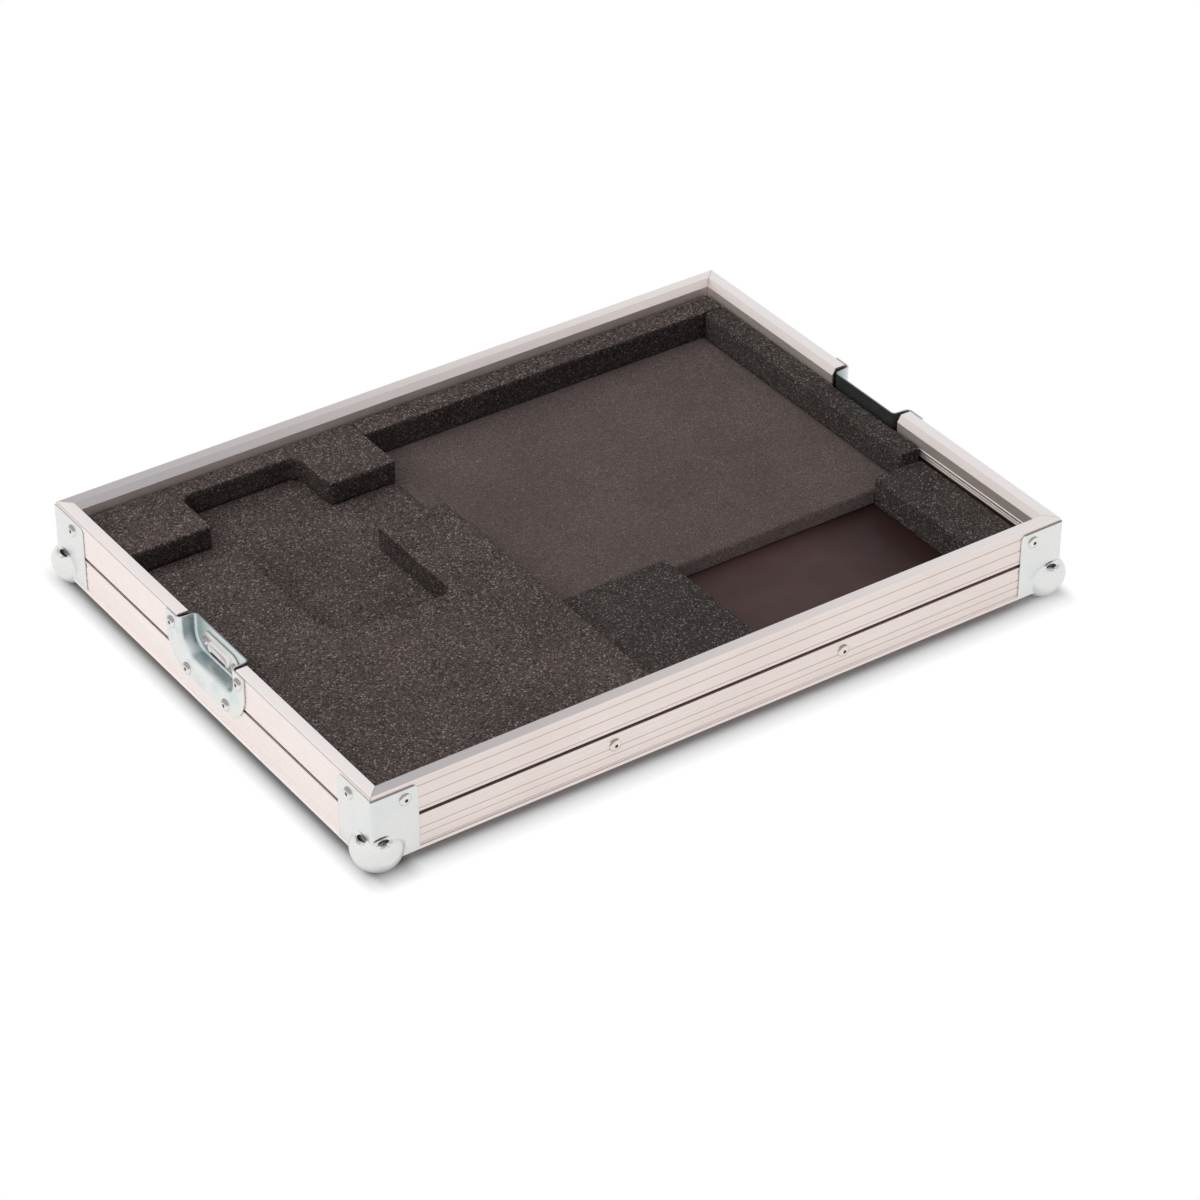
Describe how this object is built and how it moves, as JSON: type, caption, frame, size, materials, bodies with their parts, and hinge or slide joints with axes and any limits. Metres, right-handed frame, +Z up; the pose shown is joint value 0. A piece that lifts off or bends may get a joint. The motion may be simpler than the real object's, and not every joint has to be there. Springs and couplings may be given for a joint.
{
  "type": "pedal case tray",
  "caption": "Shallow tray of a plywood transport case for pedals, with aluminium edge profiles, steel ball corners, recessed keeper dishes and a cut foam insert.",
  "frame": {"origin": "under the middle of the tray, at the height of the lowest points of the ball corners", "axes": "+X along the long side, +Y from the front wall to the back wall, +Z up through the open top"},
  "size_m": [0.6206, 0.4606, 0.0683],
  "materials": {
    "profile_aluminium": "satin",
    "corner_steel": "satin",
    "dish_steel": "satin",
    "rivet": "satin",
    "plywood": "satin",
    "floor_film": "satin",
    "coarse_foam": "matte",
    "fine_foam": "matte"
  },
  "bodies": {
    "root": {"floor_panel": "floor_film", "wall_panel_front": "plywood", "wall_panel_back": "plywood", "wall_panel_left": "plywood", "wall_panel_right": "plywood", "rim_front": "profile_aluminium", "rim_back": "profile_aluminium", "rim_left_front": "profile_aluminium", "rim_left_back": "profile_aluminium", "rim_right_front": "profile_aluminium", "rim_right_back": "profile_aluminium", "base_angle_front": "profile_aluminium", "base_angle_back": "profile_aluminium", "base_angle_left": "profile_aluminium", "base_angle_right": "profile_aluminium", "ball_corner_front_left": "corner_steel", "ball_corner_front_right": "corner_steel", "ball_corner_back_left": "corner_steel", "ball_corner_back_right": "corner_steel", "latch_dish_left": "dish_steel", "latch_dish_right": "dish_steel", "keeper_plate_left": "dish_steel", "keeper_plate_right": "dish_steel", "corner_rivet_front_left_1": "rivet", "corner_rivet_front_left_2": "rivet", "corner_rivet_front_left_foot": "rivet", "corner_rivet_front_right_1": "rivet", "corner_rivet_front_right_2": "rivet", "corner_rivet_front_right_foot": "rivet", "corner_rivet_back_left_1": "rivet", "corner_rivet_back_left_2": "rivet", "corner_rivet_back_left_foot": "rivet", "corner_rivet_back_right_1": "rivet", "corner_rivet_back_right_2": "rivet", "corner_rivet_back_right_foot": "rivet", "dish_rivet_left_1": "rivet", "dish_rivet_left_2": "rivet", "dish_rivet_left_3": "rivet", "dish_rivet_left_4": "rivet", "dish_rivet_right_1": "rivet", "dish_rivet_right_2": "rivet", "dish_rivet_right_3": "rivet", "dish_rivet_right_4": "rivet", "keeper_rivet_left_1": "rivet", "keeper_rivet_left_2": "rivet", "keeper_rivet_right_1": "rivet", "keeper_rivet_right_2": "rivet", "wall_rivet_front_1": "rivet", "wall_rivet_front_2": "rivet", "wall_rivet_back_1": "rivet", "wall_rivet_back_2": "rivet", "foam_left_base": "coarse_foam", "foam_front_block": "coarse_foam", "foam_back_block": "coarse_foam", "foam_back_strip": "coarse_foam", "foam_right_strip": "coarse_foam", "foam_right_block": "coarse_foam", "foam_centre_block": "coarse_foam", "foam_pit_sheet": "fine_foam"}
  },
  "joints": []
}
